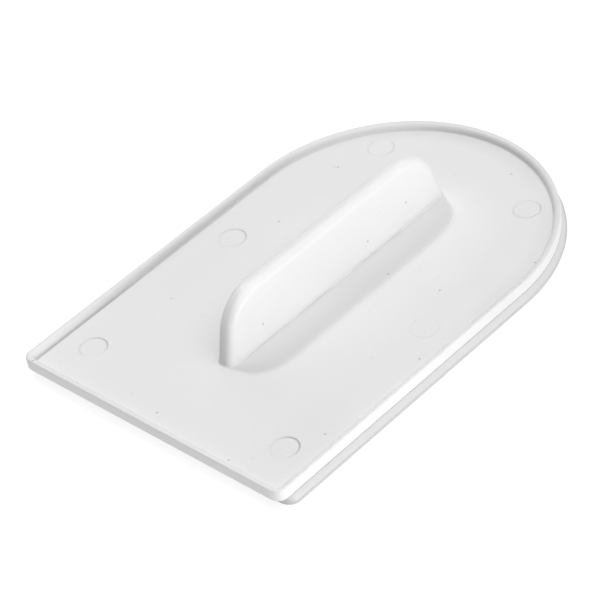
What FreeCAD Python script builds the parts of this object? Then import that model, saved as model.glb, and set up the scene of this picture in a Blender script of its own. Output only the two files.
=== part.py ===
import FreeCAD, Part
import math
import os
import Sketcher

# A hand smoother for sheet icing: a D-shaped rimmed plate, an upright fin grip whose foot is trapped
# under that plate, and a flat sole plate beneath. Millimetres, +Z up, the origin at the middle of the
# underside. X is the width, -Y the straight guide edge, +Y the round end.

V = FreeCAD.Vector
QUARTER = math.pi / 2  # a quarter turn

SIZES = {
    "plate_width": 100.0,
    "plate_length": 150.0,
    "corner_round": 3.2,
    "plate_thick": 3.5,
    "rim_wide": 2.2,
    "rim_high": 2.2,
    "rim_edge_round": 0.5,
    "floor_corner_round": 1.8,
    "sole_thick": 3.1,
    "sole_flare": 1.5,
    "sole_setback": 2.6,
    "sole_edge_round": 0.4,
    "mark_diameter": 8.0,
    "mark_depth": 0.12,
    "mark_side": 37.2,
    "mark_side_round": 28.2,
    "mark_first": 15.9,
    "mark_second": 73.1,
    "mark_third": 128.9,
    "fin_high": 20.2,
    "fin_long": 92.4,
    "fin_thick": 6.0,
    "fin_edge_round": 2.6,
    "fin_corner_round": 14.0,
    "fin_end_lean": 3.0,
    "fin_from_guide": 30.2,
    "foot_wide": 14.0,
    "foot_over": 4.0,
    "foot_thick": 1.5,
    "foot_corner": 3.0,
    "peg_diameter": 4.0,
    "peg_long": 1.5,
    "peg_inset": 12.0,
    "peg_clearance": 0.1,
}

# Values worked out from the driving sizes: alias, formula in the sheet's own language.
DERIVED = {
    "guide_y": "=-(plate_length + sole_flare) / 2",
    "round_y": "=(plate_length + sole_flare) / 2 - sole_flare - plate_width / 2",
    "floor_z": "=sole_thick + plate_thick - rim_high",
    "fin_front_y": "=-(plate_length + sole_flare) / 2 + fin_from_guide",
    "fin_top_z": "=sole_thick + plate_thick - rim_high + fin_high",
}


def make_sheet(doc):
    """The driving sizes, one row each: name, value with the name as its alias."""
    sheet = doc.addObject("Spreadsheet::Sheet", "Sizes")
    rows = list(SIZES.items()) + list(DERIVED.items())
    for row, (name, value) in enumerate(rows, start=1):
        sheet.set("A%d" % row, name)
        sheet.set("B%d" % row, str(value))
        sheet.setAlias("B%d" % row, name)
    doc.recompute()
    return sheet


def origin_plane(body, role):
    """The origin plane of this body with that role, such as XY_Plane."""
    for feature in body.Origin.OriginFeatures:
        if feature.Role == role:
            return feature
    raise ValueError("no origin plane " + role)


def new_body(doc, label):
    body = doc.addObject("PartDesign::Body", label)
    body.Label = label
    return body


def sketch_on(body, name, role, height=None):
    """A sketch on an origin plane of the body, lifted along the plane's normal by an expression."""
    sketch = body.newObject("Sketcher::SketchObject", name)
    sketch.AttachmentSupport = [(origin_plane(body, role), "")]
    sketch.MapMode = "FlatFace"
    if height:
        sketch.setExpression("AttachmentOffset.Base.z", height)
    return sketch


def bind(sketch, kind, refs, value, name, formula):
    """Adds a named constraint and ties it to the sheet."""
    index = sketch.addConstraint(Sketcher.Constraint(kind, *refs, value))
    sketch.renameConstraint(index, name)
    sketch.setExpression("Constraints." + name, formula)


def d_outline(sketch, inset, front_inset, corner, start):
    """A D: a straight guide edge with two small round corners, two sides and a half-circle end.
    inset and front_inset are formulas for how far the sides and the guide edge lie inside the plate;
    corner is the formula of the corner radius. start gives rough numbers for the same three."""
    side = SIZES["plate_width"] / 2 - start[0]
    front = -(SIZES["plate_length"] + SIZES["sole_flare"]) / 2 + start[1]
    mid = front + SIZES["plate_length"] - SIZES["plate_width"] / 2 - start[1]
    r = start[2]
    z = V(0, 0, 1)
    lines = [
        Part.LineSegment(V(-side + r, front, 0), V(side - r, front, 0)),
        Part.LineSegment(V(side, front + r, 0), V(side, mid, 0)),
        Part.LineSegment(V(-side, mid, 0), V(-side, front + r, 0)),
    ]
    arcs = [
        Part.ArcOfCircle(Part.Circle(V(side - r, front + r, 0), z, r), -QUARTER, 0.0),
        Part.ArcOfCircle(Part.Circle(V(0, mid, 0), z, side), 0.0, 2 * QUARTER),
        Part.ArcOfCircle(Part.Circle(V(-side + r, front + r, 0), z, r), 2 * QUARTER, 3 * QUARTER),
    ]
    front_line, right_line, left_line = (sketch.addGeometry(g, False) for g in lines)
    right_corner, end_arc, left_corner = (sketch.addGeometry(g, False) for g in arcs)
    joins = [
        (front_line, 2, right_corner, 1),
        (right_corner, 2, right_line, 1),
        (right_line, 2, end_arc, 1),
        (end_arc, 2, left_line, 1),
        (left_line, 2, left_corner, 1),
        (left_corner, 2, front_line, 1),
    ]
    for join in joins:
        sketch.addConstraint(Sketcher.Constraint("Tangent", *join))
    sketch.addConstraint(Sketcher.Constraint("Horizontal", front_line))
    sketch.addConstraint(Sketcher.Constraint("Vertical", right_line))
    sketch.addConstraint(Sketcher.Constraint("Equal", right_corner, left_corner))
    sketch.addConstraint(Sketcher.Constraint("PointOnObject", end_arc, 3, -2))
    bind(sketch, "Radius", (end_arc,), side, "end_radius", "Sizes.plate_width / 2 - (%s)" % inset)
    bind(sketch, "Radius", (right_corner,), r, "corner", corner)
    bind(sketch, "DistanceY", (-1, 1, end_arc, 3), mid, "end_centre", "Sizes.round_y")
    bind(sketch, "DistanceY", (-1, 1, front_line, 1), front, "guide_line",
         "Sizes.guide_y + (%s)" % front_inset)


def rounded_box(sketch, formulas, corner, rough):
    """A rectangle with round corners, centred on the sketch's vertical axis. formulas are the half
    width, the lower side and the upper side, corner the radius, rough their numbers to start from."""
    half, low, high, r = rough
    z = V(0, 0, 1)
    lines = [
        Part.LineSegment(V(-half + r, low, 0), V(half - r, low, 0)),
        Part.LineSegment(V(half, low + r, 0), V(half, high - r, 0)),
        Part.LineSegment(V(half - r, high, 0), V(-half + r, high, 0)),
        Part.LineSegment(V(-half, high - r, 0), V(-half, low + r, 0)),
    ]
    centres = [(half - r, low + r), (half - r, high - r), (-half + r, high - r), (-half + r, low + r)]
    sides = [sketch.addGeometry(line, False) for line in lines]
    turns = []
    for turn, (x, y) in enumerate(centres):
        start = (turn - 1) * QUARTER
        arc = Part.ArcOfCircle(Part.Circle(V(x, y, 0), z, r), start, start + QUARTER)
        turns.append(sketch.addGeometry(arc, False))
    for i in range(4):
        sketch.addConstraint(Sketcher.Constraint("Tangent", sides[i], 2, turns[i], 1))
        sketch.addConstraint(Sketcher.Constraint("Tangent", turns[i], 2, sides[(i + 1) % 4], 1))
    sketch.addConstraint(Sketcher.Constraint("Vertical", sides[1]))
    sketch.addConstraint(Sketcher.Constraint("Horizontal", sides[2]))
    sketch.addConstraint(Sketcher.Constraint("Vertical", sides[3]))
    for turn in turns[1:]:
        sketch.addConstraint(Sketcher.Constraint("Equal", turns[0], turn))
    sketch.addConstraint(Sketcher.Constraint("Symmetric", sides[0], 1, sides[0], 2, -2))
    bind(sketch, "Radius", (turns[0],), r, "corner", corner)
    bind(sketch, "DistanceX", (sides[3], 1, sides[1], 1), 2 * half, "wide", "2 * (%s)" % formulas[0])
    bind(sketch, "DistanceY", (-1, 1, sides[0], 1), low, "low_side", formulas[1])
    bind(sketch, "DistanceY", (-1, 1, sides[2], 1), high, "high_side", formulas[2])


def slot_shape(sketch):
    """The round-cornered opening in the plate's floor, which the fin's base fills."""
    front = -(SIZES["plate_length"] + SIZES["sole_flare"]) / 2 + SIZES["fin_from_guide"]
    rough = (SIZES["fin_thick"] / 2, front, front + SIZES["fin_long"], SIZES["fin_edge_round"])
    formulas = ("Sizes.fin_thick / 2", "Sizes.fin_front_y", "Sizes.fin_front_y + Sizes.fin_long")
    rounded_box(sketch, formulas, "Sizes.fin_edge_round", rough)


def foot_shape(sketch, gap, rough_gap):
    """The outline of the fin's foot, grown by a gap."""
    front = -(SIZES["plate_length"] + SIZES["sole_flare"]) / 2 + SIZES["fin_from_guide"]
    reach = SIZES["foot_over"] + rough_gap
    rough = (SIZES["foot_wide"] / 2 + rough_gap, front - reach, front + SIZES["fin_long"] + reach,
             SIZES["foot_corner"] + rough_gap)
    formulas = ("Sizes.foot_wide / 2 + " + gap,
                "Sizes.fin_front_y - Sizes.foot_over - " + gap,
                "Sizes.fin_front_y + Sizes.fin_long + Sizes.foot_over + " + gap)
    rounded_box(sketch, formulas, "Sizes.foot_corner + " + gap, rough)


def circles(sketch, spots, diameter):
    """Circles at (x formula, y formula) spots, all of one diameter formula."""
    for number, (x_formula, y_formula) in enumerate(spots):
        radius = SIZES["peg_diameter"] / 2
        rough = V(10.0 * (number + 1), 10.0 * (number + 1), 0)
        circle = sketch.addGeometry(Part.Circle(rough, V(0, 0, 1), radius), False)
        bind(sketch, "Radius", (circle,), radius, "radius_%d" % number, "(%s) / 2" % diameter)
        bind(sketch, "DistanceX", (-1, 1, circle, 3), rough.x, "x_%d" % number, x_formula)
        bind(sketch, "DistanceY", (-1, 1, circle, 3), rough.y, "y_%d" % number, y_formula)


def pad(body, name, sketch, length, midplane=False, reverse=False):
    feature = body.newObject("PartDesign::Pad", name)
    feature.Profile = sketch
    feature.Midplane = midplane
    feature.Reversed = reverse
    feature.setExpression("Length", length)
    return feature


def pocket(body, name, sketch, depth, reverse=False):
    """A pocket that has to take material away."""
    before = body.Shape.Volume
    feature = body.newObject("PartDesign::Pocket", name)
    feature.Profile = sketch
    feature.Reversed = reverse
    feature.setExpression("Length", depth)
    body.Document.recompute()
    if not body.Shape.Volume < before - 0.01:
        raise ValueError(name + " cut nothing")
    return feature


def round_edges(body, name, radius, wanted):
    """Rounds the edges of the body's shape for which wanted(edge) is true."""
    body.Document.recompute()
    tip = body.Tip
    chosen = []
    for number, edge in enumerate(tip.Shape.Edges, start=1):
        if wanted(edge):
            chosen.append("Edge%d" % number)
    if not chosen:
        raise ValueError(name + " found no edge")
    feature = body.newObject("PartDesign::Fillet", name)
    feature.Base = (tip, chosen)
    feature.setExpression("Radius", radius)
    body.Document.recompute()
    return feature


def level(edge, z):
    """Whether the whole edge lies at height z."""
    box = edge.BoundBox
    return abs(box.ZMin - z) < 1e-4 and abs(box.ZMax - z) < 1e-4


def mark_spots():
    """The six round ejector marks: two near the guide edge, two at mid length, two in the round end."""
    rows = [
        ("Sizes.mark_side", "Sizes.guide_y + Sizes.mark_first"),
        ("Sizes.mark_side", "Sizes.guide_y + Sizes.mark_second"),
        ("Sizes.mark_side_round", "Sizes.guide_y + Sizes.mark_third"),
    ]
    return [(sign + x, y) for x, y in rows for sign in ("-", "")]


def peg_spots():
    """Six welding pegs, two across the width at three stations along the plate."""
    side = "Sizes.plate_width / 2 - Sizes.peg_inset"
    stations = [
        "Sizes.guide_y + Sizes.sole_setback + Sizes.peg_inset",
        "(Sizes.guide_y + Sizes.round_y) / 2 + Sizes.peg_inset / 2",
        "Sizes.round_y",
    ]
    return [("%s(%s)" % (sign, side), y) for y in stations for sign in ("-", "")]


def fin_side_view(sketch):
    """The fin seen from the side, Y to the right and Z up: a flat base, ends that lean inwards,
    two large round corners and a level top."""
    half = SIZES["fin_long"] / 2
    mid = -(SIZES["plate_length"] + SIZES["sole_flare"]) / 2 + SIZES["fin_from_guide"] + half
    low = SIZES["sole_thick"]
    high = low + SIZES["plate_thick"] - SIZES["rim_high"] + SIZES["fin_high"]
    r = SIZES["fin_corner_round"]
    lean = SIZES["fin_end_lean"]
    z = V(0, 0, 1)
    base = sketch.addGeometry(Part.LineSegment(V(mid - half, low, 0), V(mid + half, low, 0)), False)
    back = Part.LineSegment(V(mid + half, low, 0), V(mid + half - lean, high - r, 0))
    back = sketch.addGeometry(back, False)
    ring = Part.Circle(V(mid + half - lean - r, high - r, 0), z, r)
    back_arc = sketch.addGeometry(Part.ArcOfCircle(ring, 0.0, QUARTER), False)
    top = Part.LineSegment(V(mid + half - lean - r, high, 0), V(mid - half + lean + r, high, 0))
    top = sketch.addGeometry(top, False)
    ring = Part.Circle(V(mid - half + lean + r, high - r, 0), z, r)
    front_arc = sketch.addGeometry(Part.ArcOfCircle(ring, QUARTER, 2 * QUARTER), False)
    front = Part.LineSegment(V(mid - half + lean, high - r, 0), V(mid - half, low, 0))
    front = sketch.addGeometry(front, False)
    sketch.addConstraint(Sketcher.Constraint("Coincident", base, 2, back, 1))
    sketch.addConstraint(Sketcher.Constraint("Coincident", front, 2, base, 1))
    for join in ((back, 2, back_arc, 1), (back_arc, 2, top, 1), (top, 2, front_arc, 1),
                 (front_arc, 2, front, 1)):
        sketch.addConstraint(Sketcher.Constraint("Tangent", *join))
    sketch.addConstraint(Sketcher.Constraint("Horizontal", base))
    sketch.addConstraint(Sketcher.Constraint("Horizontal", top))
    sketch.addConstraint(Sketcher.Constraint("Equal", back_arc, front_arc))
    sketch.addConstraint(Sketcher.Constraint("Equal", back, front))
    bind(sketch, "Radius", (back_arc,), r, "corner", "Sizes.fin_corner_round")
    bind(sketch, "DistanceX", (base, 1, base, 2), 2 * half, "base_length", "Sizes.fin_long")
    bind(sketch, "DistanceX", (-1, 1, base, 1), mid - half, "base_start", "Sizes.fin_front_y")
    bind(sketch, "DistanceY", (-1, 1, base, 1), low, "base_height", "Sizes.sole_thick")
    bind(sketch, "DistanceY", (-1, 1, top, 1), high, "top_height", "Sizes.fin_top_z")
    bind(sketch, "DistanceX", (back_arc, 1, back, 1), lean, "end_lean", "Sizes.fin_end_lean")


def rimmed_plate(doc):
    """The upper plate: a D-shaped tray with a raised rim, a slot for the fin, six ejector marks in
    its floor and six pegs under it."""
    body = new_body(doc, "rimmed_plate")
    outline = sketch_on(body, "plate_outline", "XY_Plane", "Sizes.sole_thick")
    d_outline(outline, "0", "0", "Sizes.corner_round", (0.0, 0.0, SIZES["corner_round"]))
    pad(body, "plate", outline, "Sizes.plate_thick")
    doc.recompute()
    rim_top = "Sizes.sole_thick + Sizes.plate_thick"
    tray = sketch_on(body, "tray_outline", "XY_Plane", rim_top)
    rough = (SIZES["rim_wide"], SIZES["rim_wide"], SIZES["floor_corner_round"])
    d_outline(tray, "Sizes.rim_wide", "Sizes.rim_wide", "Sizes.floor_corner_round", rough)
    pocket(body, "tray", tray, "Sizes.rim_high")
    slot = sketch_on(body, "slot_outline", "XY_Plane", rim_top)
    slot_shape(slot)
    pocket(body, "fin_slot", slot, "Sizes.plate_thick")
    marks = sketch_on(body, "ejector_marks", "XY_Plane", "Sizes.floor_z")
    circles(marks, mark_spots(), "Sizes.mark_diameter")
    pocket(body, "marks", marks, "Sizes.mark_depth")
    pegs = sketch_on(body, "peg_outline", "XY_Plane", "Sizes.sole_thick")
    circles(pegs, peg_spots(), "Sizes.peg_diameter")
    pad(body, "pegs", pegs, "Sizes.peg_long", reverse=True)
    top = SIZES["sole_thick"] + SIZES["plate_thick"]
    round_edges(body, "rim_rounds", "Sizes.rim_edge_round", lambda edge: level(edge, top))
    return body


def grip_fin(doc):
    """The fin grip: a tall rounded blade with a flat foot that hooks under the upper plate."""
    body = new_body(doc, "grip_fin")
    blade = sketch_on(body, "fin_outline", "YZ_Plane")
    fin_side_view(blade)
    pad(body, "blade", blade, "Sizes.fin_thick", midplane=True)
    low = SIZES["sole_thick"]
    half = SIZES["fin_thick"] / 2

    def outer(edge):
        box = edge.BoundBox
        flat = box.XLength < 1e-4 and abs(abs(box.XMin) - half) < 1e-4
        return flat and box.ZMax > low + 1e-4

    round_edges(body, "blade_rounds", "Sizes.fin_edge_round", outer)
    foot = sketch_on(body, "foot_outline", "XY_Plane", "Sizes.sole_thick")
    foot_shape(foot, "0", 0.0)
    pad(body, "foot", foot, "Sizes.foot_thick", reverse=True)
    doc.recompute()
    return body


def sole_plate(doc):
    """The sole: a flat plate whose sides flare outwards to the base, set back at the guide edge, with
    a recess for the fin's foot and six blind sockets in its upper face."""
    body = new_body(doc, "sole_plate")
    low = sketch_on(body, "base_outline", "XY_Plane")
    setback = SIZES["sole_setback"]
    corner = SIZES["corner_round"]
    rough = (-SIZES["sole_flare"], setback, corner + SIZES["sole_flare"])
    d_outline(low, "-Sizes.sole_flare", "Sizes.sole_setback",
              "Sizes.corner_round + Sizes.sole_flare", rough)
    high = sketch_on(body, "seat_outline", "XY_Plane", "Sizes.sole_thick")
    d_outline(high, "0", "Sizes.sole_setback", "Sizes.corner_round", (0.0, setback, corner))
    doc.recompute()
    loft = body.newObject("PartDesign::AdditiveLoft", "flared_plate")
    loft.Profile = low
    loft.Sections = [high]
    loft.Ruled = True
    doc.recompute()
    recess = sketch_on(body, "foot_recess_outline", "XY_Plane", "Sizes.sole_thick")
    foot_shape(recess, "Sizes.peg_clearance", SIZES["peg_clearance"])
    pocket(body, "foot_recess", recess, "Sizes.foot_thick")
    sockets = sketch_on(body, "socket_outline", "XY_Plane", "Sizes.sole_thick")
    circles(sockets, peg_spots(), "Sizes.peg_diameter + 2 * Sizes.peg_clearance")
    pocket(body, "sockets", sockets, "Sizes.peg_long + Sizes.peg_clearance")
    round_edges(body, "base_rounds", "Sizes.sole_edge_round", lambda edge: level(edge, 0.0))
    return body


def check(doc, bodies):
    """Stops if any object failed or a sub-part isn't one valid solid."""
    for thing in doc.Objects:
        state = [word for word in thing.State if word in ("Invalid", "Error")]
        if state:
            raise ValueError("%s is %s" % (thing.Name, state))
    for body in bodies:
        shape = body.Shape
        if shape.isNull() or not shape.isValid() or len(shape.Solids) != 1:
            raise ValueError(body.Label + " isn't one valid solid")
        box = shape.optimalBoundingBox(False)
        print("%-14s x %.2f..%.2f  y %.2f..%.2f  z %.2f..%.2f  volume %.0f mm3" % (
            body.Label, box.XMin, box.XMax, box.YMin, box.YMax, box.ZMin, box.ZMax, shape.Volume))
    for i, one in enumerate(bodies):
        for other in bodies[i + 1:]:
            shared = one.Shape.common(other.Shape).Volume
            print("%s and %s share %.4f mm3" % (one.Label, other.Label, shared))


def main():
    doc = FreeCAD.newDocument("icing_smoother")
    make_sheet(doc)
    bodies = [rimmed_plate(doc), grip_fin(doc), sole_plate(doc)]
    doc.recompute()
    check(doc, bodies)
    os.makedirs("parts", exist_ok=True)
    for body in bodies:
        body.Shape.exportStep(os.path.join("parts", body.Label + ".step"))


main()
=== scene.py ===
"""An icing smoother: a rimmed D-shaped plate, a fin grip and a flat sole, in glossy white plastic."""

import math
from typing import NamedTuple

import bpy
import numpy as np
from mathutils import Matrix, Vector


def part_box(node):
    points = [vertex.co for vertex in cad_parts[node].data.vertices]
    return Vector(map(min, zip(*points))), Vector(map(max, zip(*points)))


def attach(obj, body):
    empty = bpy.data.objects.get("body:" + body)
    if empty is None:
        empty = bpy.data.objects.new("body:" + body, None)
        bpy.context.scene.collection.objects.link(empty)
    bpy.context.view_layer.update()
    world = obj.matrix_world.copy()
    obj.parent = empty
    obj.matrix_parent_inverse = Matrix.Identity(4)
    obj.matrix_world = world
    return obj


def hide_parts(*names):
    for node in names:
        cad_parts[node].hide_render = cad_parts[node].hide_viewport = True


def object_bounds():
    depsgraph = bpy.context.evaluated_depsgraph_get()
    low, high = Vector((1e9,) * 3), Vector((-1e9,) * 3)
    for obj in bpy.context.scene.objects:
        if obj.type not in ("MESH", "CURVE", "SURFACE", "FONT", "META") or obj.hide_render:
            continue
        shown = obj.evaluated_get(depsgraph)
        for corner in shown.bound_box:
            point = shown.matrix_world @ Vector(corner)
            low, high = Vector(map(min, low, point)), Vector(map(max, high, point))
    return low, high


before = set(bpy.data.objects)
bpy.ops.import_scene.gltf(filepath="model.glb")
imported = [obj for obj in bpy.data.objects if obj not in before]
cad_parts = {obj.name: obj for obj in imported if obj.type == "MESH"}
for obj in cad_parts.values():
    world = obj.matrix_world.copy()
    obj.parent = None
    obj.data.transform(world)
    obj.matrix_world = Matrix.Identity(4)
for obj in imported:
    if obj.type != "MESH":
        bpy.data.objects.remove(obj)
CAD_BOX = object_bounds()

bl_info = {
    "name": "Icing smoother",
    "version": (1, 0, 0),
    "blender": (4, 5, 0),
    "location": "View3D > Sidebar > Smoother",
    "description": "Builds a moulded icing smoother around its CAD frame",
    "category": "Add Mesh",
}

MM = 0.001
PLATE_LOW, PLATE_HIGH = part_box("rimmed_plate")
FIN_LOW, FIN_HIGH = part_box("grip_fin")
SOLE_LOW, SOLE_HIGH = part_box("sole_plate")


def length(name, description, millimetres):
    """A length property with its default in millimetres."""
    return bpy.props.FloatProperty(
        name=name, description=description, default=millimetres * MM, subtype="DISTANCE",
        unit="LENGTH", precision=5)


def colour(name, description, rgb):
    """A colour property."""
    return bpy.props.FloatVectorProperty(
        name=name, description=description, default=(*rgb, 1.0), size=4, min=0.0, max=1.0,
        subtype="COLOR")


def factor(name, description, value):
    """A property between nought and one."""
    return bpy.props.FloatProperty(
        name=name, description=description, default=value, min=0.0, max=1.0, subtype="FACTOR")


def angle(name, description, degrees):
    """An angle property with its default in degrees."""
    return bpy.props.FloatProperty(
        name=name, description=description, default=math.radians(degrees), subtype="ANGLE",
        unit="ROTATION")


class PlateSizes(bpy.types.PropertyGroup):
    """Sizes of the rimmed plate."""

    thickness: length("Thickness", "From the rim's top to the underside", 3.5)
    corner: length("Corner round", "Radius of the two corners at the guide edge", 3.2)
    rim_width: length("Rim width", "Width of the raised rim", 2.15)
    rim_height: length("Rim height", "Rim above the tray's floor", 2.2)
    rim_round: length("Rim round", "Radius of the rim's outer upper edge", 0.5)
    rim_inner_round: length("Rim inner round", "Radius of the rim's inner upper edge", 1.4)
    wall_draft: length("Wall draft", "Lean of the rim's inner wall over its height", 0.05)
    foot_round: length("Foot round", "Radius where the rim meets the floor", 0.45)
    mark_radius: length("Mark radius", "Radius of an ejector mark", 4.0)
    mark_depth: length("Mark depth", "Depth of an ejector mark", 0.12)
    mark_side: length("Mark side", "Ejector marks on the straight sides, from the middle", 37.2)
    mark_side_round: length("Mark side, round end", "The same for the two in the round end", 28.2)
    mark_first: length("First marks", "Ejector marks nearest the guide edge, from that edge", 15.9)
    mark_second: length("Second marks", "Ejector marks at mid length, from the guide edge", 73.1)
    mark_third: length("Third marks", "Ejector marks in the round end, from the guide edge", 128.9)


class FinSizes(bpy.types.PropertyGroup):
    """Sizes of the grip fin."""

    thickness: length("Thickness", "Thickness at the foot", 6.0)
    draft: length("Draft", "How much thinner the fin is at its top, each side", 0.3)
    edge_round: length("Edge round", "Radius along the fin's ends and top", 2.6)
    corner: length("Corner round", "Radius of the two upper corners seen from the side", 14.0)
    end_lean: angle("End lean", "Lean of the two ends", 15.0)
    from_guide: length("From guide edge", "Where the fin starts, from the guide edge", 30.55)
    long: length("Length", "Length of the fin at its base", 91.7)
    fillet: length("Fillet", "Radius of the fillet at the fin's foot", 0.35)
    gap: length("Joint gap", "Gap all round the fin in the plate's slot", 0.02)


class SoleSizes(bpy.types.PropertyGroup):
    """Sizes of the sole."""

    edge_round: length("Edge round", "Radius of the lower edge", 0.4)
    recess: length("Recess depth", "Depth of the recess for the fin's foot", 1.5)


class Finish(bpy.types.PropertyGroup):
    """Colours and gloss of the plastic."""

    plate: colour("Plate", "Colour of the rimmed plate", (0.78, 0.78, 0.78))
    # The fin is a little lighter than the plate as painted light: the two are the same plastic, and
    # the fin's colour is raised to brighten its lit face.
    fin: colour("Fin", "Colour of the grip fin", (0.80, 0.80, 0.80))
    # The sole is much darker than the plate as painted shade: it is the same white plastic, its colour
    # lowered to the tone of a band in shade.
    sole: colour("Sole", "Colour of the sole", (0.58, 0.58, 0.58))
    # This colour darkens both dirt and painted shade: the rim's foot line (dirt and painted shade),
    # the painted shade inside the rim, on the marks' rings and on the sole under the plate, and the
    # dirt round the fin and at its foot.
    dirt_and_shade: colour("Grime", "Icing dust and dirt in the corners", (0.20, 0.20, 0.195))
    speck: colour("Specks", "Dark specks moulded into the plastic", (0.12, 0.115, 0.11))
    roughness: factor("Roughness", "Roughness of the moulded plastic", 0.36)
    polish: factor("Polish", "Roughness of the polished sole", 0.30)


class Studio(bpy.types.PropertyGroup):
    """The floor, the lights and the camera."""

    azimuth: angle("Azimuth", "Camera's bearing from the guide edge, towards the right", 49.97)
    elevation: angle("Elevation", "Camera's height above the horizon", 39.12)
    roll: angle("Roll", "Camera's roll", 11.38)
    distance: length("Distance", "Camera's distance from the point it looks at", 792.8)
    aim_side: length("Aim, side", "Point looked at, from the middle of the base", -5.0)
    aim_along: length("Aim, along", "Point looked at, from the middle of the base", -9.2)
    lens: bpy.props.FloatProperty(
        name="Lens", description="Focal length", default=167.34, subtype="DISTANCE_CAMERA")
    floor: colour("Floor", "Colour of the floor", (0.25, 0.25, 0.25))
    floor_glow: bpy.props.FloatProperty(
        name="Floor glow", description="Light through the floor from below", default=0.82)
    ambient: bpy.props.FloatProperty(
        name="Ambient", description="Strength of the even white surroundings", default=0.11)


# ---------------------------------------------------------------- shapes as whole arrays


def clipped_runs(s, *lengths):
    """How much of each run in a row of runs has been walked at distance s, one array per run."""
    starts = np.cumsum((0.0, *lengths[:-1]))
    return [np.clip(s - start, 0.0, run) for start, run in zip(starts, lengths)]


def mirrored(s, half):
    """Distances folded back past the halfway point, and the sign of the side they lie on."""
    return np.where(s > half, 2 * half - s, s), np.where(s > half, -1.0, 1.0)


class DShape:
    """A D: a straight front edge, two small round corners, two sides and a half-circle end.

    On the right half, walked from the middle of the front edge, with a the angle turned through the
    corner less a quarter turn and b the angle turned through the end:
    x = walked front + corner cos a - half (1 - cos b),
    y = front + corner (1 + sin a) + walked side + half sin b, and the normal points along a + b."""

    def __init__(self, half, front, centre, corner):
        self.half, self.front, self.centre, self.corner = half, front, centre, corner
        self.runs = (half - corner, corner * math.pi / 2, centre - front - corner,
                     half * math.pi / 2)
        self.side_length = sum(self.runs)

    def stations(self, s):
        """The places at distances s round the outline, as the shares walked of its front, corner,
        side and end runs, and the sign of the side they lie on."""
        folded, sign = mirrored(s, self.side_length)
        walked = clipped_runs(folded, *self.runs)
        return [part / run for part, run in zip(walked, self.runs)], sign

    def inset(self, depth):
        """The parallel D that lies depth inside this one, its corners never quite sharp."""
        corner = max(self.corner - depth, LEAST_CORNER)
        return DShape(self.half - depth, self.front + depth, self.centre, corner)

    def at(self, stations):
        """Points and outward normals at the stations."""
        (front, corner, side, end), sign = stations
        a = (corner - 1) * math.pi / 2
        b = end * math.pi / 2
        x = front * self.runs[0] + self.corner * np.cos(a) - self.half * (1 - np.cos(b))
        y = (self.front + self.corner * (1 + np.sin(a)) + side * self.runs[2]
             + self.half * np.sin(b))
        point = np.stack([x * sign, y], axis=-1)
        normal = np.stack([np.cos(a + b) * sign, np.sin(a + b)], axis=-1)
        return point, normal

    def section(self, stations, profile):
        """Loops round this D, one for each (inset, height) pair of a profile."""
        plan = np.stack([self.inset(depth).at(stations)[0] for depth, _ in profile])
        heights = np.broadcast_to(profile[:, 1, None], plan.shape[:2])
        return np.concatenate([plan, heights[..., None]], axis=-1)


LEAST_CORNER = 1.0 * MM  # radius that an inset D's corners never go below
FLAT_SHARE = 0.1  # share of a slot's round end given to its short flat


def slot_outline(stations, half, low, high, corner):
    """A rectangle with round corners, matched run by run to a D: its front flat, corner and side
    follow the D's, and its far corner and flat share the D's half-circle end."""
    (front, turn, side, end), sign = stations
    a = (turn - 1) * math.pi / 2
    b = np.minimum(end / (1 - FLAT_SHARE), 1.0) * math.pi / 2
    flat = 1 - np.maximum((end - 1) / FLAT_SHARE + 1, 0.0)
    x = (half - corner) * np.minimum(front, flat) + corner * np.cos(a) * np.cos(b)
    y = low + corner * (1 + np.sin(a)) + side * (high - low - 2 * corner) + corner * np.sin(b)
    return np.stack([x * sign, y], axis=-1)


def graded(low, high, count, spots, reach, gain):
    """Count values from low to high, closer together near the spots: equal steps of the running sum
    of a density that is 1 plus gain within reach of a spot."""
    fine = np.linspace(low, high, 4000)
    near = np.min(np.abs(fine[:, None] - np.asarray(spots)[None]), axis=1)
    density = 1 + gain * smooth_step((reach - near) / (0.3 * reach))
    total = np.concatenate([[0.0], np.cumsum((density[1:] + density[:-1]) / 2)])
    return np.interp(np.linspace(0, total[-1], count), total, fine)


def smooth_step(x):
    """0 below 0, 1 above 1, and x squared times (3 - 2x) between."""
    x = np.clip(x, 0.0, 1.0)
    return x * x * (3 - 2 * x)


def quarter(centre, radius, start, end, steps):
    """Points of an arc from angle start to angle end in degrees, as (across, up) pairs."""
    turn = np.radians(np.linspace(start, end, steps))
    return np.stack([centre[0] + radius * np.cos(turn), centre[1] + radius * np.sin(turn)], axis=-1)


def grid_faces(rows, columns, wrap_rows, wrap_columns):
    """Quads of a grid of vertices numbered row by row, closed across either way where asked."""
    i = np.arange(rows if wrap_rows else rows - 1)[:, None]
    j = np.arange(columns if wrap_columns else columns - 1)[None]
    up, across = (i + 1) % rows, (j + 1) % columns
    corners = [i * columns + j, i * columns + across, up * columns + across, up * columns + j]
    return np.stack([np.broadcast_to(c, (i.size, j.size)) for c in corners], axis=-1).reshape(-1, 4)


def mesh_object(name, points, quads, caps=()):
    """A smooth-shaded closed mesh of quads and flat caps, its faces turned outwards."""
    mesh = bpy.data.meshes.new(name)
    mesh.from_pydata(points.reshape(-1, 3), [], [*quads.tolist(), *[list(c) for c in caps]])
    mesh.validate()
    mesh.update()
    piece = bpy.data.objects.new(name, mesh)
    bpy.context.scene.collection.objects.link(piece)
    turn_outwards(mesh)
    mesh.shade_smooth()
    return piece


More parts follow.
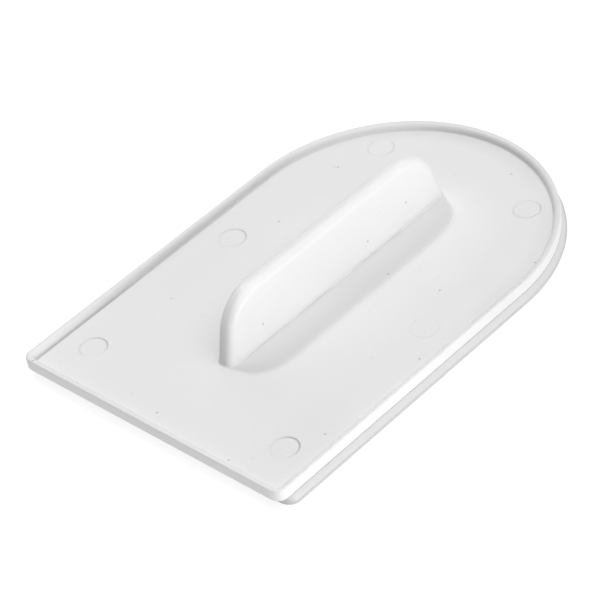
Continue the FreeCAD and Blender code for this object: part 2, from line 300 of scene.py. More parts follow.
def turn_outwards(mesh):
    """Flips every face if the mesh's signed volume is negative."""
    mesh.calc_loop_triangles()
    corners = np.zeros(len(mesh.loop_triangles) * 3, np.int32)
    mesh.loop_triangles.foreach_get("vertices", corners)
    place = np.zeros(len(mesh.vertices) * 3)
    mesh.vertices.foreach_get("co", place)
    a, b, c = place.reshape(-1, 3)[corners.reshape(-1, 3)].transpose(1, 0, 2)
    if np.einsum("ij,ij->i", a, np.cross(b, c)).sum() < 0:
        mesh.flip_normals()


CREASE = math.radians(50)  # edges that turn more than this stay crisp under smooth shading


def sharpen(piece):
    """Keeps a piece's creases crisp."""
    piece.data.set_sharp_from_angle(angle=CREASE)


# ---------------------------------------------------------------- shader sums in Python


class Value:
    """A shader socket that Python's arithmetic works on: every operator adds its Math node."""

    def __init__(self, graph, socket):
        self.graph, self.socket = graph, socket

    def math(self, operation, *others):
        return self.graph.node("ShaderNodeMath", {"operation": operation}, self, *others)

    def __add__(self, other):
        return self.math("ADD", other)

    def __sub__(self, other):
        return self.math("SUBTRACT", other)

    def __rsub__(self, other):
        return self.graph.node("ShaderNodeMath", {"operation": "SUBTRACT"}, other, self)

    def __mul__(self, other):
        return self.math("MULTIPLY", other)

    def __truediv__(self, other):
        return self.math("DIVIDE", other)

    __radd__, __rmul__ = __add__, __mul__

    def least(self, other):
        return self.math("MINIMUM", other)

    def most(self, other):
        return self.math("MAXIMUM", other)

    def size(self):
        return self.math("ABSOLUTE")

    def root(self):
        return self.math("SQRT")

    def ramp(self, low, high, to_low=0.0, to_high=1.0):
        """Smooth step from to_low at low to to_high at high."""
        settings = {"interpolation_type": "SMOOTHSTEP"}
        return self.graph.node("ShaderNodeMapRange", settings, self, low, high, to_low, to_high)


MIX_FIRST, MIX_SECOND, MIX_RESULT = 6, 7, 2  # a Mix node's sockets for colours


class Graph:
    """The nodes of one material, ending in a Principled shader."""

    def __init__(self, name):
        self.material = bpy.data.materials.new(name)
        self.material.use_nodes = True
        self.tree = self.material.node_tree
        self.shader = self.tree.nodes["Principled BSDF"]
        self.place = self.node("ShaderNodeTexCoord", {}, output="Object")
        parts = self.tree.nodes.new("ShaderNodeSeparateXYZ")
        self.tree.links.new(self.place.socket, parts.inputs[0])
        self.x, self.y, self.z = (Value(self, out) for out in parts.outputs)
        self.normal = self.node("ShaderNodeNewGeometry", {}, output="Normal")

    def node(self, kind, settings, *inputs, output=0, **named):
        """A node of a kind with its settings made first, then its sockets filled in order or by name
        with numbers, colours or links. Returns one output."""
        node = self.tree.nodes.new(kind)
        for key, value in settings.items():
            setattr(node, key, value)
        for key, value in [*enumerate(inputs), *named.items()]:
            self.fill(node.inputs[key], value)
        return Value(self, node.outputs[output])

    def fill(self, socket, value):
        """Links a Value into a socket, or sets the socket's own number or colour."""
        if isinstance(value, Value):
            self.tree.links.new(value.socket, socket)
        else:
            socket.default_value = value

    def set(self, **sockets):
        """Fills the shader's sockets, underscores standing for spaces."""
        for key, value in sockets.items():
            self.fill(self.shader.inputs[key.replace("_", " ")], value)

    def mix(self, share, first, second):
        """first where share is 0, second where it is 1, as colours."""
        node = self.tree.nodes.new("ShaderNodeMix")
        node.data_type = "RGBA"
        for key, value in zip((0, MIX_FIRST, MIX_SECOND), (share, first, second)):
            self.fill(node.inputs[key], value)
        return Value(self, node.outputs[MIX_RESULT])

    def noise(self, texture):
        """A texture's noise, from 0 to 1."""
        return self.node("ShaderNodeTexNoise", {"noise_dimensions": "3D"}, Vector=self.place,
                         Scale=texture.scale, Detail=texture.detail, Roughness=texture.rough)


class Texture(NamedTuple):
    """A noise pattern: its features to the metre, its octaves and how strong each next one is."""

    scale: float
    detail: float
    rough: float


class Specks(NamedTuple):
    """Specks: places to the metre, their radius, and the share of places that hold one."""

    per_metre: float
    radius: float
    share: float


CLOUDS = Texture(38.0, 3.0, 0.55)
GRAIN = Texture(1100.0, 3.0, 0.7)
SMUDGES = Texture(24.0, 4.0, 0.6)
ORANGE_PEEL = Texture(700.0, 2.0, 0.5)
WARP = Texture(90.0, 2.0, 0.5)
PLATE_PATCHES = Texture(55.0, 3.0, 0.6)
FIN_PATCHES = Texture(60.0, 3.0, 0.6)
PLATE_CRUMBS = Texture(600.0, 3.0, 0.6)
EDGE_CRUMBS = Texture(500.0, 3.0, 0.6)
BIG_SPECKS = Specks(66.0, 0.52 * MM, 0.20)
FINE_SPECKS = Specks(150.0, 0.22 * MM, 0.10)

SHADED = 0.965  # the plastic's darkest cloud, as a share of its colour
CLOUD_SHARE, GRAIN_SHARE = 0.55, 0.45  # how much clouds and grain each move the colour
FINE_SPECK_STRENGTH = 0.8
SPECK_DARKNESS = 0.36
SMUDGE_ROUGHNESS, GRAIN_ROUGHNESS, DIRT_ROUGHNESS = 0.06, 0.04, 0.25
PEEL_HEIGHT, WARP_HEIGHT = 0.003, 0.009  # in millimetres
PLASTIC_IOR = 1.49


def specks(graph, across, along, kind):
    """Round specks on a plane: 1 within a speck's radius of the point in a share of a Voronoi
    pattern's cells."""
    plane = graph.node("ShaderNodeCombineXYZ", {}, across, along)
    cells = graph.tree.nodes.new("ShaderNodeTexVoronoi")
    cells.voronoi_dimensions = "2D"
    graph.fill(cells.inputs["Vector"], plane)
    graph.fill(cells.inputs["Scale"], kind.per_metre)
    near = Value(graph, cells.outputs["Distance"])
    pick = graph.node("ShaderNodeSeparateColor", {}, Value(graph, cells.outputs["Color"]))
    chosen = pick.ramp(1 - kind.share, 1 - kind.share + 0.01)
    limit = kind.radius * kind.per_metre
    return near.ramp(limit, limit * 0.4) * chosen


def d_distance(graph, half, front, centre):
    """How far inside a D a point lies: the nearest of its sides, front and half-circle end."""
    side = half - graph.x.size()
    over = (graph.y - centre).most(0.0)
    end = half - (graph.x * graph.x + over * over).root()
    return side.least(graph.y - front).least(end)


def slot_distance(graph, half, low, high):
    """How far outside an upright box's plan a point lies."""
    across = (graph.x.size() - half).most(0.0)
    along = ((graph.y - (low + high) / 2).size() - (high - low) / 2).most(0.0)
    return (across * across + along * along).root()


def moulded_plastic(name, base, finish, roughness, face, dirt_and_shade, relief=None):
    """White moulded plastic: faint cloudiness and grain, dark specks on its main face, dirt and
    painted shade where dirt_and_shade says, smudges in its gloss, and a slight orange peel, over the
    relief if there is one. Both are in millimetres. face names the two coordinates that span the main
    face and the way it looks."""
    graph = Graph(name)
    clouds, grain = graph.noise(CLOUDS), graph.noise(GRAIN)
    shade = tuple(SHADED * c for c in base[:3]) + (1.0,)
    light = clouds.ramp(0.3, 0.7) * CLOUD_SHARE + grain.ramp(0.3, 0.7) * GRAIN_SHARE
    tone = graph.mix(light, shade, tuple(base))
    across, along = getattr(graph, face[0]), getattr(graph, face[1])
    looks = graph.node("ShaderNodeSeparateXYZ", {}, graph.normal, output=face[2]).size()
    dark = specks(graph, across, along, BIG_SPECKS)
    dark = dark.most(specks(graph, across, along, FINE_SPECKS) * FINE_SPECK_STRENGTH)
    tone = graph.mix(dark * looks.ramp(0.7, 0.9) * SPECK_DARKNESS, tone, tuple(finish.speck))
    # Dirt and painted shade: this mask darkens the colour both where dirt lies and where shade is
    # painted.
    dirt = dirt_and_shade(graph)
    tone = graph.mix(dirt, tone, tuple(finish.dirt_and_shade))
    smudge = graph.noise(SMUDGES).ramp(0.42, 0.68)
    graph.set(
        Base_Color=tone,
        Roughness=(smudge * SMUDGE_ROUGHNESS + grain * GRAIN_ROUGHNESS + dirt * DIRT_ROUGHNESS
                   + roughness),
        IOR=PLASTIC_IOR,
        Specular_IOR_Level=0.5,
    )
    peel = graph.noise(ORANGE_PEEL) * PEEL_HEIGHT + graph.noise(WARP) * WARP_HEIGHT
    if relief:
        peel = peel + relief(graph)
    graph.set(Normal=graph.node("ShaderNodeBump", {}, Strength=1.0, Distance=MM, Height=peel))
    return graph.material


# ---------------------------------------------------------------- the pieces


def plate_shape(sizes):
    """The rimmed plate's outline: its D, from the CAD plate's box."""
    half = PLATE_HIGH.x
    return DShape(half, PLATE_LOW.y, PLATE_HIGH.y - half, sizes.corner)


class Mark(NamedTuple):
    """An ejector mark: its place, how deep it is and tilts as shares of the mark depth, and how dark
    the painted shade on its ring is, most of all towards an angle from +X."""

    x: float
    y: float
    depth: float
    tilt_x: float
    tilt_y: float
    ring_shade: float
    ring_shade_turn: float


def mark_places(sizes):
    """The six ejector marks, two in each of three rows from the guide edge."""
    guide = PLATE_LOW.y
    side, end = sizes.mark_side, sizes.mark_side_round
    first, second, third = (guide + y for y in
                            (sizes.mark_first, sizes.mark_second, sizes.mark_third))
    return (
        Mark(-side, first, 0.35, 0.0, 0.9, 0.55, 180.0),
        Mark(side, first, 1.0, 0.15, 0.5, 0.8, 65.0),
        Mark(-side, second, 0.7, 0.5, 0.3, 0.75, 125.0),
        Mark(side, second, 0.25, 0.3, -0.3, 0.25, 0.0),
        Mark(-end, third, 0.35, 0.5, 0.2, 0.45, 210.0),
        Mark(end, third, 0.3, 0.9, 0.6, 0.6, 265.0),
    )


WAVE_HEIGHT, WAVE_ACROSS, WAVE_ALONG = 0.02 * MM, 21 * MM, 34 * MM
MARK_SLOPE = 0.3 * MM  # width of the slope just inside a mark's ring
LIP_HEIGHT = 0.3  # as a share of the mark depth
LIP_OUT, LIP_WIDTH = 0.12 * MM, 0.22 * MM


def floor_relief(x, y, share, sizes):
    """Height of the tray's floor over its level: a faint long wave that dies out at the fin and at
    the rim, and at each ejector mark a shallow tilted disc with a narrow raised lip round it."""
    wave = WAVE_HEIGHT * np.sin(x / WAVE_ACROSS + 0.7) * np.sin(y / WAVE_ALONG + 0.4)
    relief = wave * np.sin(math.pi * share)
    radius = sizes.mark_radius
    for mark in mark_places(sizes):
        dx, dy = x - mark.x, y - mark.y
        away = np.hypot(dx, dy)
        inside = smooth_step((radius - away) / MARK_SLOPE)
        tilt = (mark.tilt_x * dx + mark.tilt_y * dy) / radius
        lip = LIP_HEIGHT * np.exp(-(((away - radius - LIP_OUT) / LIP_WIDTH) ** 2))
        relief = relief - sizes.mark_depth * (inside * (mark.depth + tilt) - lip)
    return relief


SHADING_STEP = 0.1 * MM
FLOOR_STRIP = 1.3 * MM  # width of the floor's last strip, which runs parallel to the rim's foot
LOWER_EDGE_ROUND = 0.12 * MM
UNDERSIDE_INSETS = (2.4 * MM, 3.0 * MM)


def rim_profile(sizes):
    """The plate's section from the floor outwards, as (inset from the outline, height over the
    underside) pairs: fillet, inner wall, rounded rim, outer wall and lower edge. A short step beside
    each round keeps its shading from spreading over the flat next to it."""
    width, high, r = sizes.rim_width, sizes.thickness, sizes.rim_round
    low = high - sizes.rim_height
    inner, fillet = sizes.rim_inner_round, sizes.foot_round
    foot = width + sizes.wall_draft
    edge, step, nudge = LOWER_EDGE_ROUND, SHADING_STEP, 0.2 * SHADING_STEP
    return np.concatenate([
        [(foot + FLOOR_STRIP, low), (foot + fillet + step, low)],
        quarter((foot + fillet, low + fillet), fillet, 270, 180, 8),
        [(foot - nudge, low + fillet + step), (width + nudge, high - inner - step)],
        quarter((width - inner, high - inner), inner, 0, 90, 12),
        [(width - inner - 0.8 * step, high), (r + 0.8 * step, high)],
        quarter((r, high - r), r, 90, 180, 9),
        [(0.0, high - r - step), (0.0, high * 0.5), (0.0, edge + step)],
        quarter((edge, edge), edge, 180, 270, 5),
        [(edge + step, 0.0), *((inset, 0.0) for inset in UNDERSIDE_INSETS)],
    ])


STATIONS = 440
EVEN_STATIONS = 900  # for finding the ejector marks
FLOOR_ROWS = 78
MARK_REACH, MARK_GAIN = 9 * MM, 3.0  # how far and how much the stations crowd at a mark
MARK_ROW_REACH, MARK_ROW_GAIN = 0.085, 2.6  # the same for the floor's rows, as shares of them


def mark_spots(inner, slot, sizes, along):
    """Where the ejector marks fall on the floor's grid: stations along the outline and shares from
    the slot to the rim's foot, found on an even grid."""
    share = np.linspace(0, 1, 120)
    grid = slot[None] + share[:, None, None] * (inner - slot)[None]
    stations, shares = [], []
    for mark in mark_places(sizes):
        away = np.hypot(grid[..., 0] - mark.x, grid[..., 1] - mark.y)
        row, column = np.unravel_index(away.argmin(), away.shape)
        stations.append(along[column])
        shares.append(share[row])
    return stations, shares


def plate_grid(sizes, fin):
    """The whole plate as one ring-shaped grid: each station round the outline carries a loop that
    runs out over the floor from the fin's slot to the rim's foot on a straight line, follows the rim
    profile, and comes back along the underside and up the slot's wall."""
    outline = plate_shape(sizes)
    under = PLATE_HIGH.z - sizes.thickness
    floor_z = PLATE_HIGH.z - sizes.rim_height
    profile = rim_profile(sizes)
    slot_half = fin.thickness / 2 + fin.gap
    slot_low = PLATE_LOW.y + fin.from_guide - fin.gap
    slot_high = slot_low + fin.long + 2 * fin.gap

    def loops(s):
        stations = outline.stations(s)
        inner = outline.inset(profile[0][0]).at(stations)[0]
        slot = slot_outline(stations, slot_half, slot_low, slot_high, fin.edge_round)
        return stations, inner, slot

    around = 2 * outline.side_length
    even = np.linspace(0, around, EVEN_STATIONS, endpoint=False)
    _, inner, slot = loops(even)
    spots, shares = mark_spots(inner, slot, sizes, even)
    s = graded(0, around, STATIONS + 1, spots, MARK_REACH, MARK_GAIN)[:-1]
    share = graded(0, 1, FLOOR_ROWS, shares, MARK_ROW_REACH, MARK_ROW_GAIN)
    stations, inner, slot = loops(s)
    floor = slot[None] + share[:, None, None] * (inner - slot)[None]
    height = floor_z + floor_relief(floor[..., 0], floor[..., 1], share[:, None], sizes)
    floor = np.concatenate([floor, height[..., None]], axis=-1)
    rim = outline.section(stations, profile[1:] + np.array([0.0, under]))
    wall = np.stack([np.concatenate([slot, np.full((STATIONS, 1), z)], axis=-1)
                     for z in (under, under + 0.1 * MM, floor_z - 0.1 * MM)])
    return np.concatenate([floor, rim, wall])


def fin_outline(s, sizes, base):
    """The fin's side outline and outward normals at distances s: up the leaning back end, round the
    corner and along the level top to the middle, then mirrored. With q the angle of the normal:
    y = half - walked end sin lean - R (cos lean - cos q) - walked top,
    z = base + walked end cos lean + R (sin q - sin lean)."""
    half, lean, radius = sizes.long / 2, sizes.end_lean, sizes.corner
    top = FIN_HIGH.z - base
    end_run = (top - radius + radius * math.sin(lean)) / math.cos(lean)
    arc_run = radius * (math.pi / 2 - lean)
    top_run = half - end_run * math.sin(lean) - radius * math.cos(lean)
    total = end_run + arc_run + top_run
    folded, sign = mirrored(s * 2 * total, total)
    end, arc, flat = clipped_runs(folded, end_run, arc_run, top_run)
    q = lean + arc / radius
    y = half - end * math.sin(lean) - radius * (math.cos(lean) - np.cos(q)) - flat
    z = base + end * math.cos(lean) + radius * (np.sin(q) - math.sin(lean))
    point = np.stack([y * sign, z], axis=-1)
    normal = np.stack([np.cos(q) * sign, np.sin(q)], axis=-1)
    return point, normal


FIN_STATIONS = 220
FIN_ROUND_STEPS = 12


def fin_grid(sizes, base):
    """The blade as a grid: each station of its side outline carries a section that runs from the base
    line up one flat face, round the bullnose edge and down the other. At depth d in from the outline
    the half thickness is t/2 - r + sqrt(r^2 - (r - d)^2), less the draft with height."""
    point, normal = fin_outline(np.linspace(0, 1, FIN_STATIONS), sizes, base)
    middle = PLATE_LOW.y + sizes.from_guide + sizes.long / 2
    r = sizes.edge_round
    turn = np.linspace(0, math.pi / 2, FIN_ROUND_STEPS)
    depth = r * (1 - np.cos(turn))
    half = sizes.thickness / 2 - r + r * np.sin(turn)
    edge = point[None] - depth[:, None, None] * normal[None]
    inside = edge[-1]
    reach = sizes.long / 2 - r
    foot = np.stack([inside[:, 0].clip(-reach, reach), np.full(FIN_STATIONS, base)], axis=-1)
    foot[:, 0] = np.where(np.abs(point[:, 0]) > reach, np.sign(point[:, 0]) * reach, foot[:, 0])
    share = np.array([0.02, 0.1, 0.3, 0.5, 0.7, 0.9, 1.0])[:, None, None]
    face = inside[None] + share * (foot - inside)[None]
    plan = np.concatenate([edge, face])
    plan[..., 1] = np.maximum(plan[..., 1], base)
    halves = np.concatenate([half, np.full(len(share), sizes.thickness / 2)])
    rise = (plan[..., 1] - base) / (FIN_HIGH.z - base)
    x = halves[:, None] - sizes.draft * rise * (halves / halves[-1])[:, None]
    right = np.stack([x, plan[..., 0] + middle, plan[..., 1]], axis=-1)
    left = right * np.array([-1.0, 1.0, 1.0])
    return np.concatenate([right[::-1], left])


def fin_fillet(base_loop, middle, sizes):
    """Loops of the small fillet at the blade's foot: the blade's lowest loop, spread outwards from
    its core line by r (1 - cos q) while it sinks r sin q."""
    core = base_loop.copy()
    core[:, 0] = 0.0
    reach = sizes.long / 2 - sizes.thickness / 2
    core[:, 1] = np.clip(base_loop[:, 1] - middle, -reach, reach) + middle
    away = base_loop - core
    away /= np.linalg.norm(away, axis=1)[:, None]
    turn = np.linspace(0, math.pi / 2, 6)[1:]
    down = np.array([0.0, 0.0, -1.0])
    return [base_loop + sizes.fillet * ((1 - math.cos(q)) * away + math.sin(q) * down)
            for q in turn]


def border(rows, columns):
    """Vertex numbers round the edge of a grid, once round without a repeat."""
    numbers = np.arange(rows * columns).reshape(rows, columns)
    return np.concatenate([numbers[0, :-1], numbers[:-1, -1], numbers[-1, :0:-1],
                           numbers[:0:-1, 0]])


def ring_faces(first, second):
    """Quads between two loops of vertex numbers, wound to go on from a grid whose border is first."""
    return np.stack([first, second, np.roll(second, -1), np.roll(first, -1)], axis=-1)


def place_piece(piece, material, node):
    """Gives a finished piece its material in a material slot and its body, and hides the CAD node it
    stands for.
    """
    piece.data.materials.append(material)
    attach(piece, "root")
    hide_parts(node)


def mark_distance(graph, mark):
    """Offsets from an ejector mark's middle and the distance to it."""
    dx, dy = graph.x - mark.x, graph.y - mark.y
    return dx, dy, (dx * dx + dy * dy).root()


RING_STEP = 0.26 * MM  # half the width of the step at a ring
RING_DROP, TILT_RISE = 0.09, 0.2  # in millimetres


def mark_relief(sizes):
    """The steps at the ejector marks' rings and the marks' tilts, in millimetres."""

    def relief(graph):
        height = 0.0
        for mark in mark_places(sizes):
            dx, dy, away = mark_distance(graph, mark)
            inside = (away - sizes.mark_radius).ramp(RING_STEP, -RING_STEP)
            tilt = (dx * mark.tilt_x + dy * mark.tilt_y) * (TILT_RISE / sizes.mark_radius)
            height = inside * (tilt + RING_DROP * (0.4 + mark.depth)) * -1.0 + height
        return height

    return relief


RING_FADE, RING_DARK = 0.58 * MM, 0.14 * MM  # from a ring: where its painted shade ends, where it is full


def mark_ring_shade(graph, sizes):
    """Painted shade on the ejector marks' rings: dark lines, fading away from the side where each is
    darkest.
    """
    ring_shade = 0.0
    for mark in mark_places(sizes):
        dx, dy, away = mark_distance(graph, mark)
        turn = math.radians(mark.ring_shade_turn)
        side = (dx * math.cos(turn) + dy * math.sin(turn)) / sizes.mark_radius
        ring = (away - sizes.mark_radius).size().ramp(RING_FADE, RING_DARK)
        ring_shade = (ring * side.ramp(-0.2, 0.95, 0.22, 1.0) * mark.ring_shade).most(ring_shade)
    return ring_shade


# Rim foot: dirt and painted shade; inside the rim: painted shade; round the fin: dirt; marks' rings:
# painted shade.
RIM_FOOT_DIRT_AND_SHADE, END_DIRT_AND_SHADE, RIM_SIDE_SHADE, JOINT_DIRT, MARK_SHADE = 0.45, 0.35, 0.11, 0.2, 0.24  # how dark each is


def plate_dirt_and_shade(settings):
    """Dirt and painted shade on the plate: a dark line at the rim's foot, partly dirt and partly
    painted shade, heavier near the guide edge on the left and round the end; a faint painted shade
    inside the rim round the end and down the right; a thin dirt line round the fin; and painted shade
    on the ejector marks' rings."""
    sizes, fin = settings.smoother_plate, settings.smoother_fin
    shape = plate_shape(sizes)
    foot = sizes.rim_width + sizes.wall_draft + 0.3 * MM
    floor_z = PLATE_HIGH.z - sizes.rim_height

    def dirt_and_shade(graph):
        patch, fine = graph.noise(PLATE_PATCHES), graph.noise(PLATE_CRUMBS)
        inside = d_distance(graph, shape.half, shape.front, shape.centre)
        # Painted shade and dirt: a dark line at the rim's foot, heaviest on the left near the guide
        # edge and round the end.
        line = ((inside - foot).size() + fine * 0.0002).ramp(0.0007, 0.0002)
        low = graph.z.ramp(floor_z + 1.0 * MM, floor_z + 0.1 * MM)
        left = graph.x.ramp(0.030, -0.020) * graph.y.ramp(0.0, -0.045, 0.12, 1.0)
        end = graph.y.ramp(0.045, 0.068)
        heavy = left.most(end * END_DIRT_AND_SHADE)
        rim_foot_dirt_and_shade = line * low * heavy * patch.ramp(0.25, 0.55, 0.45, 1.0)
        around = slot_distance(graph, fin.thickness / 2, PLATE_LOW.y + fin.from_guide,
                               PLATE_LOW.y + fin.from_guide + fin.long)
        joint = (around + fine * 0.0004).ramp(0.0009, 0.0003) * patch.ramp(0.50, 0.68)
        # Painted shade: a faint soft darkening of the floor inside the rim, round the end and down the
        # right.
        right = graph.x.ramp(0.015, 0.035) * graph.y.ramp(-0.030, 0.020)
        rim_side_shade = inside.ramp(foot + 6.5 * MM, foot) * end.most(right) * RIM_SIDE_SHADE
        # Painted shade: dark arcs on the ejector marks' rings.
        marks = mark_ring_shade(graph, sizes) * MARK_SHADE
        return (rim_foot_dirt_and_shade * RIM_FOOT_DIRT_AND_SHADE).most(rim_side_shade).most(joint * JOINT_DIRT).most(marks)

    return dirt_and_shade


def fin_grime(settings):
    """Dirt on the fin: a thin uneven line at its foot."""
    floor_z = PLATE_HIGH.z - settings.smoother_plate.rim_height

    def dirt_and_shade(graph):
        fine, patch = graph.noise(EDGE_CRUMBS), graph.noise(FIN_PATCHES)
        line = (graph.z - floor_z + fine * 0.0002).ramp(0.00045, 0.0001)
        return line * patch.ramp(0.45, 0.66, 0.0, 0.35)

    return dirt_and_shade


def sole_painted_shade(graph):
    """Painted shade on the sole: no dirt, only a thin dark line under the plate's edge, where it is
    shaded.
    """
    fine = graph.noise(EDGE_CRUMBS)
    return (SOLE_HIGH.z - graph.z + fine * 0.0002).ramp(0.0004, 0.0001) * 0.5


class SMOOTHER_OT_plate(bpy.types.Operator):
    """Build the rimmed plate with its ejector marks and the slot for the fin"""

    bl_idname = "smoother.plate"
    bl_label = "Rimmed plate"

    def execute(self, context):
        settings = context.scene
        grid = plate_grid(settings.smoother_plate, settings.smoother_fin)
        quads = grid_faces(grid.shape[0], grid.shape[1], True, True)
        piece = mesh_object("moulded_plate", grid, quads)
        sharpen(piece)
        finish = settings.smoother_finish
        material = moulded_plastic("plate white plastic", finish.plate, finish, finish.roughness,
                                   ("x", "y", "Z"), plate_dirt_and_shade(settings),
                                   mark_relief(settings.smoother_plate))
        place_piece(piece, material, "rimmed_plate")
        return {"FINISHED"}


class SMOOTHER_OT_fin(bpy.types.Operator):
    """Build the grip fin with the foot that hooks under the plate"""

    bl_idname = "smoother.fin"
    bl_label = "Grip fin"

    def execute(self, context):
        settings = context.scene
        sizes = settings.smoother_fin
        base = PLATE_HIGH.z - settings.smoother_plate.rim_height + sizes.fillet
        blade = fin_grid(sizes, base)
        rows, columns = blade.shape[:2]
        quads = [grid_faces(rows, columns, False, False)]
        loop = border(rows, columns)
        base_loop = blade.reshape(-1, 3)[loop]
        middle = PLATE_LOW.y + sizes.from_guide + sizes.long / 2
        grow = np.array([FIN_HIGH.x / (sizes.thickness / 2),
                         (FIN_HIGH.y - FIN_LOW.y) / sizes.long, 1.0])
        centre = np.array([0.0, middle, 0.0])
        fillet = fin_fillet(base_loop, middle, sizes)
        flat = np.array([1.0, 1.0, 0.0])
        neck_top = base_loop - np.array([0.0, 0.0, 0.05 * MM])
        neck = neck_top * flat + np.array([0.0, 0.0, SOLE_HIGH.z])
        foot_top = (neck - centre) * grow + centre
        foot_low = foot_top + np.array([0.0, 0.0, FIN_LOW.z - SOLE_HIGH.z])
        loops = [*fillet, neck_top, neck, foot_top, foot_low]
        count = len(loop)
        below = [rows * columns + step * count + np.arange(count) for step in range(len(loops))]
        quads += [ring_faces(*pair) for pair in zip([loop, *below], below)]
        points = np.concatenate([blade.reshape(-1, 3), *loops])
        piece = mesh_object("rounded_fin", points, np.concatenate(quads), [below[-1][::-1].tolist()])
        sharpen(piece)
        finish = settings.smoother_finish
        material = moulded_plastic("fin white plastic", finish.fin, finish, finish.roughness,
                                   ("y", "z", "X"), fin_grime(settings))
        place_piece(piece, material, "grip_fin")
        return {"FINISHED"}


SOLE_STATIONS = 360
RECESS_CLEARANCE, RECESS_CORNER = 0.1 * MM, 3.1 * MM


def sole_profile(sizes):
    """The sole's side as (spread beyond the seat, height) pairs from the seat down to the base."""
    high, r = SOLE_HIGH.z, sizes.edge_round
    spread = SOLE_HIGH.x - PLATE_HIGH.x
    slope = np.linspace(0.04, 0.80, 6)
    wall = np.stack([spread * slope ** 1.15, high * (1 - slope)], axis=-1)
    lower = quarter((spread - r, r), r, 15, -90, 9)
    return np.concatenate([[(-0.8 * MM, high), (-0.1 * MM, high), (0.0, high - 0.03 * MM)], wall,
                           lower, [(spread - r - 0.1 * MM, 0.0)]])


class SMOOTHER_OT_sole(bpy.types.Operator):
    """Build the flared sole with the recess for the fin's foot"""

    bl_idname = "smoother.sole"
    bl_label = "Sole"

    def execute(self, context):
        settings = context.scene
        sizes = settings.smoother_sole
        plate = plate_shape(settings.smoother_plate)
        shape = DShape(plate.half, SOLE_LOW.y, plate.centre, plate.corner)
        count = SOLE_STATIONS
        stations = shape.stations(np.linspace(0, 2 * shape.side_length, count, endpoint=False))
        point, normal = shape.at(stations)
        profile = sole_profile(sizes)
        spread = np.stack([normal[:, 0], np.maximum(normal[:, 1], 0.0)], axis=-1)
        away = np.where(profile[:, 0, None, None] > 0, spread[None], normal[None])
        plan = point[None] + profile[:, 0, None, None] * away
        levels = np.broadcast_to(profile[:, 1, None], plan.shape[:2])
        side = np.concatenate([plan, levels[..., None]], axis=-1)
        gap = RECESS_CLEARANCE
        recess = slot_outline(stations, FIN_HIGH.x + gap, FIN_LOW.y - gap, FIN_HIGH.y + gap,
                              RECESS_CORNER)
        walls = np.stack([np.concatenate([recess, np.full((count, 1), z)], axis=-1)
                          for z in (SOLE_HIGH.z - sizes.recess, SOLE_HIGH.z)])
        grid = np.concatenate([walls, side])
        rows = grid.shape[0]
        quads = grid_faces(rows, count, False, True)
        recess_floor = np.arange(count)
        underside = (rows - 1) * count + np.arange(count)
        piece = mesh_object("flared_sole", grid, quads,
                            [recess_floor[::-1].tolist(), underside.tolist()])
        sharpen(piece)
        finish = settings.smoother_finish
        # Painted shade: the sole's material takes its darker colour from finish.sole.
        material = moulded_plastic("sole plastic with painted shade", finish.sole, finish, finish.polish,
                                   ("x", "y", "Z"), sole_painted_shade)
        place_piece(piece, material, "sole_plate")
        return {"FINISHED"}


class Lamp(NamedTuple):
    """A rectangular softbox: its place and sides in metres, and its power in watts."""

    name: str
    place: tuple
    width: float
    depth: float
    power: float


LAMPS = (
    Lamp("overhead softbox", (0.45, 0.0, 1.20), 1.4, 1.4, 12.4),
    Lamp("back softbox", (-0.90, 0.75, 0.95), 1.4, 1.4, 6.0),
    Lamp("key light", (-0.69, 0.10, 1.10), 0.13, 0.13, 4.2),
    Lamp("right softbox", (1.2, 0.0, 0.09), 1.4, 0.16, 8.5),
)


def soft_light(lamp):
    """Sets up a lamp so that it faces the middle of the smoother's base."""
    data = bpy.data.lights.new(lamp.name, "AREA")
    data.shape = "RECTANGLE"
    data.size, data.size_y, data.energy = lamp.width, lamp.depth, lamp.power
    light = bpy.data.objects.new(lamp.name, data)
    bpy.context.scene.collection.objects.link(light)
    light.location = lamp.place
    light.rotation_euler = Vector(lamp.place).to_track_quat("Z", "Y").to_euler()


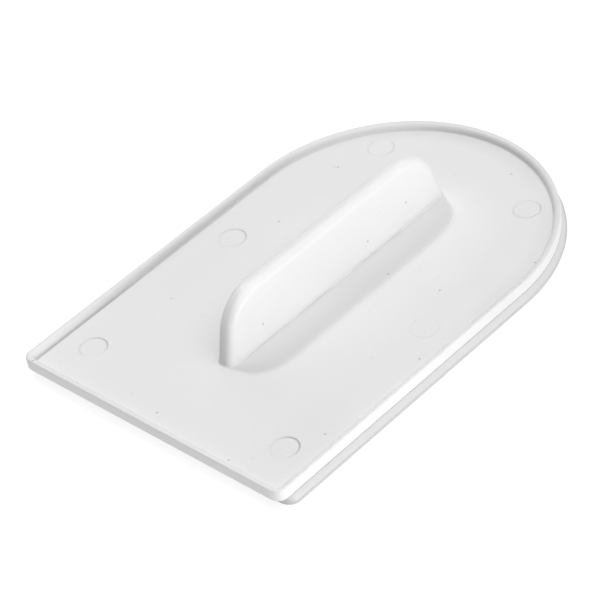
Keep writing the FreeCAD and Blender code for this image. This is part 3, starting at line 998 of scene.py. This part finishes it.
class SMOOTHER_OT_stage(bpy.types.Operator):
    """Build the floor, the soft lights and the camera"""

    bl_idname = "smoother.stage"
    bl_label = "Stage"

    def execute(self, context):
        studio = context.scene.smoother_studio
        self.floor(studio)
        self.lights(studio)
        self.camera(context, studio)
        return {"FINISHED"}

    def floor(self, studio):
        side, drop = 4.0, 0.02 * MM
        mesh = bpy.data.meshes.new("studio_floor")
        corners = [(-side, -side, 0), (side, -side, 0), (side, side, 0), (-side, side, 0)]
        mesh.from_pydata([(x, y, CAD_BOX[0].z - drop) for x, y, _ in corners], [],
                         [(0, 1, 2, 3)])
        floor = bpy.data.objects.new("studio_floor", mesh)
        bpy.context.scene.collection.objects.link(floor)
        graph = Graph("floor paper")
        graph.set(Base_Color=tuple(studio.floor), Roughness=0.9, Specular_IOR_Level=0.1,
                  Emission_Color=(1.0, 1.0, 1.0, 1.0), Emission_Strength=studio.floor_glow)
        mesh.materials.append(graph.material)

    def lights(self, studio):
        world = bpy.data.worlds.new("white tent")
        world.use_nodes = True
        background = world.node_tree.nodes["Background"]
        background.inputs["Color"].default_value = (1.0, 1.0, 1.0, 1.0)
        background.inputs["Strength"].default_value = studio.ambient
        bpy.context.scene.world = world
        for lamp in LAMPS:
            soft_light(lamp)

    def camera(self, context, studio):
        data = bpy.data.cameras.new("studio camera")
        data.lens, data.sensor_width = studio.lens, 36.0
        data.clip_start, data.clip_end = 0.01, 20.0
        camera = bpy.data.objects.new("studio camera", data)
        context.scene.collection.objects.link(camera)
        level = math.cos(studio.elevation)
        back = Vector((math.sin(studio.azimuth) * level, -math.cos(studio.azimuth) * level,
                       math.sin(studio.elevation)))
        aim = Vector((studio.aim_side, studio.aim_along, CAD_BOX[0].z))
        turned = back.to_track_quat("Z", "Y").to_matrix().to_4x4()
        roll = Matrix.Rotation(-studio.roll, 4, "Z")
        camera.matrix_world = Matrix.Translation(aim + back * studio.distance) @ turned @ roll
        context.scene.camera = camera
        context.scene.view_settings.view_transform = "Standard"


class SMOOTHER_PT_panel(bpy.types.Panel):
    """The smoother's operators and settings."""

    bl_idname = "SMOOTHER_PT_panel"
    bl_label = "Icing smoother"
    bl_space_type = "VIEW_3D"
    bl_region_type = "UI"
    bl_category = "Smoother"

    def draw(self, context):
        for operator in OPERATORS:
            self.layout.operator(operator.bl_idname)
        for name, group in SETTINGS.items():
            box = self.layout.box()
            box.label(text=group.__doc__)
            for key in group.__annotations__:
                box.prop(getattr(context.scene, name), key)


OPERATORS = (SMOOTHER_OT_plate, SMOOTHER_OT_fin, SMOOTHER_OT_sole, SMOOTHER_OT_stage)
SETTINGS = {
    "smoother_plate": PlateSizes,
    "smoother_fin": FinSizes,
    "smoother_sole": SoleSizes,
    "smoother_finish": Finish,
    "smoother_studio": Studio,
}


def register():
    for group in SETTINGS.values():
        bpy.utils.register_class(group)
    for name, group in SETTINGS.items():
        setattr(bpy.types.Scene, name, bpy.props.PointerProperty(type=group))
    for operator in OPERATORS:
        bpy.utils.register_class(operator)
    bpy.utils.register_class(SMOOTHER_PT_panel)


def unregister():
    bpy.utils.unregister_class(SMOOTHER_PT_panel)
    for operator in reversed(OPERATORS):
        bpy.utils.unregister_class(operator)
    for name in SETTINGS:
        delattr(bpy.types.Scene, name)
    for group in reversed(SETTINGS.values()):
        bpy.utils.unregister_class(group)


def main():
    register()
    bpy.ops.smoother.plate()
    bpy.ops.smoother.fin()
    bpy.ops.smoother.sole()
    bpy.ops.smoother.stage()


if __name__ == "__main__":
    main()
